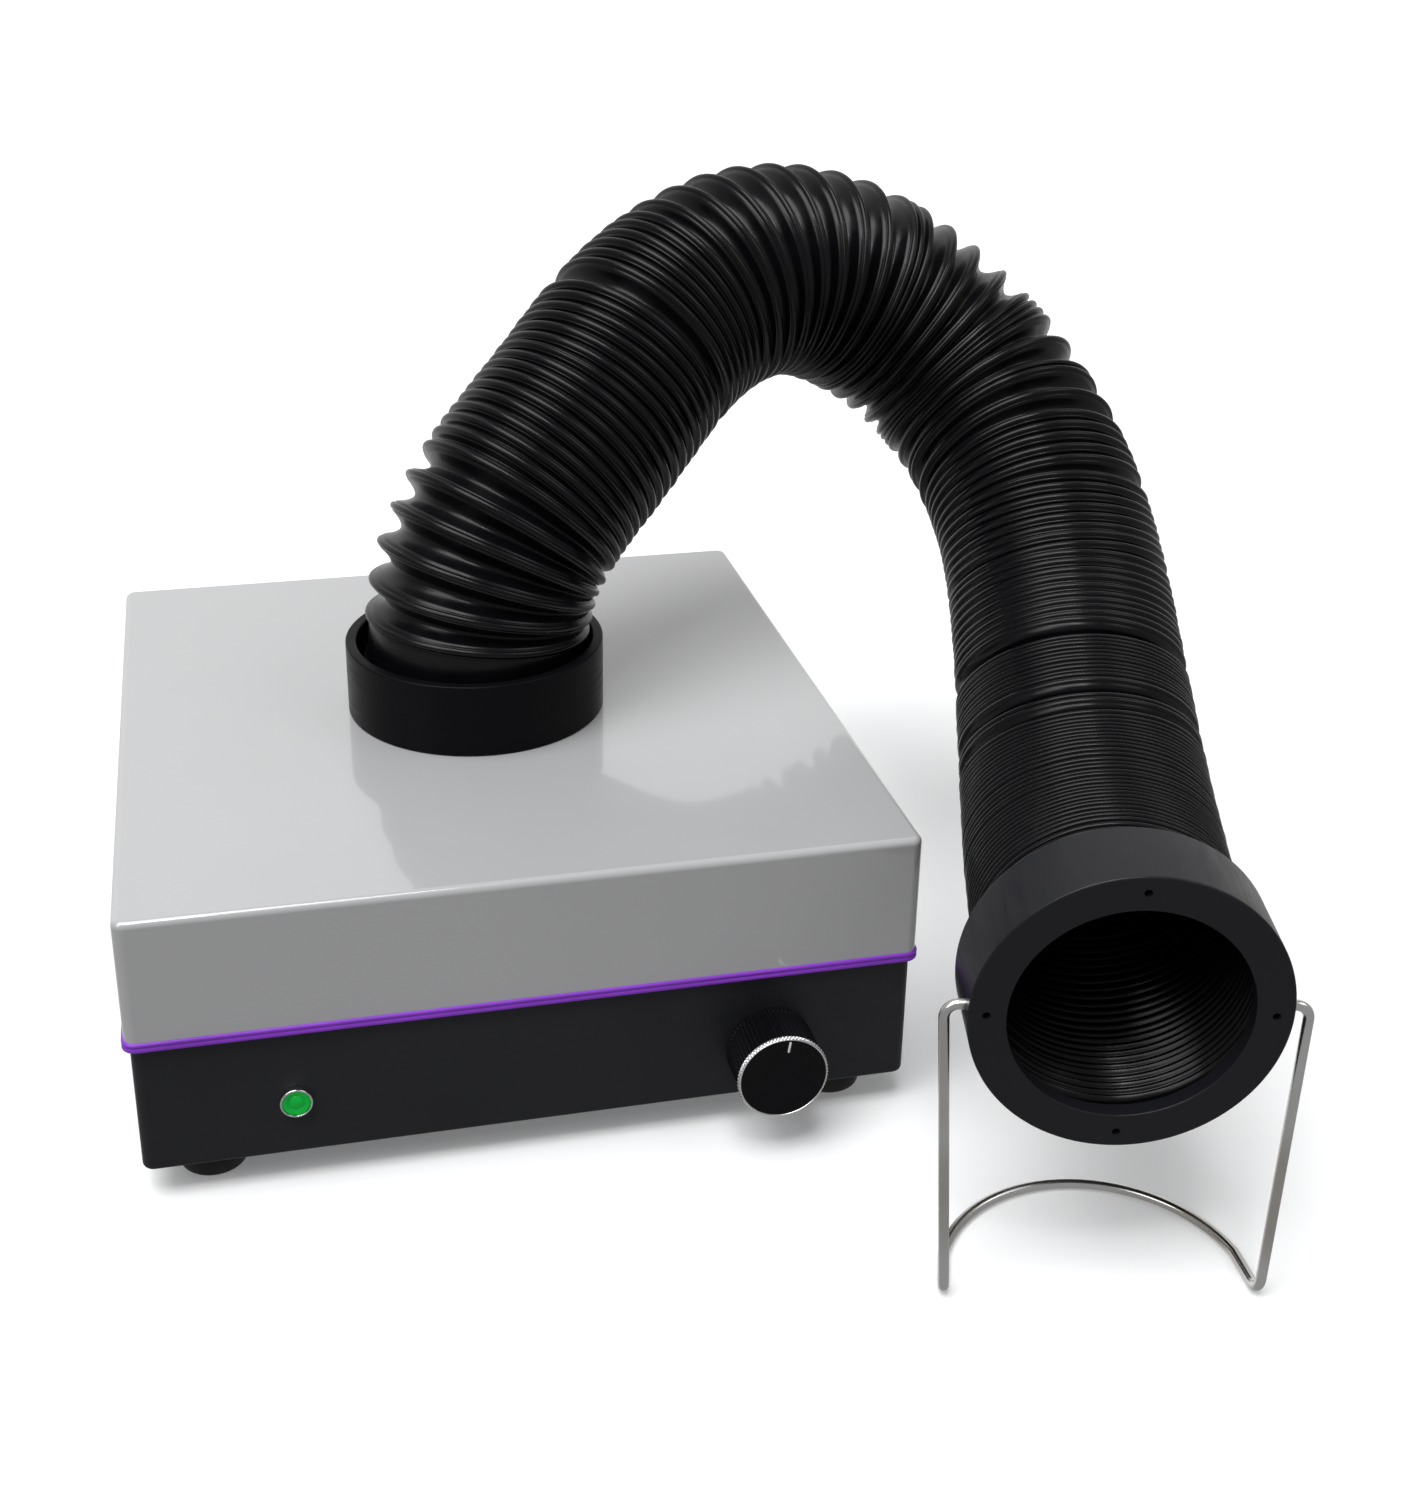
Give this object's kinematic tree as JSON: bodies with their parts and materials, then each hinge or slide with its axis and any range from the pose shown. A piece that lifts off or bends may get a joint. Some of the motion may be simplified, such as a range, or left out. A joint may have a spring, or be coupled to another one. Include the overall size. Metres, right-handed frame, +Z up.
{
  "type": "solder fume extractor",
  "caption": "Bench fume extractor: steel filter housing with a radial fan, speed knob, lamp and a stay-put corrugated suction hose whose nozzle stands on a wire bail.",
  "frame": {"origin": "middle of the whole footprint (housing, hose and stand together) on the bench surface", "axes": "+X to the housing's right, +Y to its rear, +Z up; the controls face -Y"},
  "size_m": [0.399, 0.3922, 0.287],
  "materials": {
    "cover_paint": "gloss",
    "tray_paint": "satin",
    "trim_rubber": "satin",
    "foot_rubber": "matte",
    "zinc_steel": "satin",
    "galvanised_sheet": "satin",
    "brass": "satin",
    "fan_plastic": "satin",
    "impeller_plastic": "satin",
    "motor_metal": "satin",
    "shaft_steel": "polished",
    "ring_plastic": "satin",
    "hose_plastic": "gloss",
    "stainless_wire": "satin",
    "inlet_plastic": "matte",
    "circuit_board": "satin",
    "component_plastic": "satin",
    "nylon": "satin",
    "knob_black": "anodised satin",
    "knob_bright": "machined bright",
    "pointer_white": "gloss",
    "lamp_chrome": "polished",
    "lamp_green": "gloss",
    "lead_red": "satin",
    "lead_yellow": "satin",
    "lead_black": "satin",
    "lead_blue": "satin",
    "filter_paper": "pleated glass paper",
    "carbon_foam": "open foam",
    "prefilter_fleece": "fleece"
  },
  "bodies": {
    "base": {"tray": "tray_paint", "foot_front_left": "foot_rubber", "foot_front_right": "foot_rubber", "foot_rear_left": "foot_rubber", "foot_rear_right": "foot_rubber", "foot_screws": "zinc_steel", "cover_locator": "galvanised_sheet", "deck_pillars": "brass", "deck_plate": "galvanised_sheet", "deck_screws": "zinc_steel", "fan_housing": "fan_plastic", "fan_cover": "fan_plastic", "fan_screws": "zinc_steel", "fan_motor": "motor_metal", "exhaust_grille": "tray_paint", "grille_screws": "zinc_steel", "power_inlet": "inlet_plastic", "inlet_pins": "brass", "inlet_screws": "zinc_steel", "power_board": "circuit_board", "board_components": "component_plastic", "board_standoffs": "nylon", "speed_pot": "motor_metal", "pot_nut": "zinc_steel", "lamp_body": "nylon", "lamp_bezel": "lamp_chrome", "lamp_lens": "lamp_green", "lamp_nut": "zinc_steel", "lamp_lead": "lead_red", "pot_lead": "lead_yellow", "fan_lead": "lead_black", "mains_lead": "lead_blue", "filter_frame": "galvanised_sheet", "hepa_filter": "filter_paper", "carbon_filter": "carbon_foam", "prefilter": "prefilter_fleece", "prefilter_grid": "fan_plastic"},
    "fan_rotor": {"fan_impeller": "impeller_plastic", "fan_shaft": "shaft_steel"},
    "knob": {"speed_knob": "knob_black", "knob_ring": "knob_bright", "knob_pointer": "pointer_white", "knob_set_screw": "zinc_steel", "pot_shaft": "shaft_steel"},
    "cover": {"top_cover": "cover_paint", "seal_trim": "trim_rubber", "hose_collar": "ring_plastic", "collar_screws": "zinc_steel"},
    "hose_root": {"hose_riser": "hose_plastic", "hose_crown": "hose_plastic", "hose_shoulder": "hose_plastic"},
    "hose_mid": {"hose_fall": "hose_plastic", "hose_elbow": "hose_plastic"},
    "hose_tip": {"hose_front": "hose_plastic", "hose_neck": "hose_plastic"},
    "nozzle": {"nozzle_ring": "ring_plastic"},
    "bail": {"bail_stand": "stainless_wire"}
  },
  "joints": [
    {"name": "fan_spin", "type": "hinge", "parent": "base", "child": "fan_rotor", "pos_m": [-0.0883, 0.0684, 0.03], "axis": [0, 0, 1], "continuous": true},
    {"name": "knob_turn", "type": "hinge", "parent": "base", "child": "knob", "pos_m": [0.0105, -0.0761, 0.0306], "axis": [0, -1, 0], "range_deg": [-142, 158]},
    {"name": "cover_lift", "type": "slide", "parent": "base", "child": "cover", "axis": [0, 0, 1], "range_m": [0, 0.06]},
    {"name": "hose_swivel", "type": "hinge", "parent": "cover", "child": "hose_root", "pos_m": [-0.0683, 0.0584, 0.118], "axis": [0, 0, 1], "range_deg": [-5, 45]},
    {"name": "shoulder_lift", "type": "hinge", "parent": "hose_root", "child": "hose_mid", "pos_m": [0.14041, 0.12996, 0.20363], "axis": [-0.645, -0.7642, 0], "range_deg": [0, 28], "deforming": ["hose_shoulder"]},
    {"name": "elbow_swing", "type": "hinge", "parent": "hose_mid", "child": "hose_tip", "pos_m": [0.14256, 0.00034, 0.12916], "axis": [0, 0, 1], "range_deg": [-3, 30], "deforming": ["hose_elbow"]},
    {"name": "nozzle_tilt", "type": "hinge", "parent": "hose_tip", "child": "nozzle", "pos_m": [0.10556, -0.11555, 0.10661], "axis": [-0.9767, 0.2147, 0], "range_deg": [0, 25], "deforming": ["hose_neck"]},
    {"name": "bail_swing", "type": "hinge", "parent": "nozzle", "child": "bail", "pos_m": [0.08922, -0.17554, 0.10066], "axis": [0.9767, -0.2147, 0], "range_deg": [-120, 25]}
  ]
}
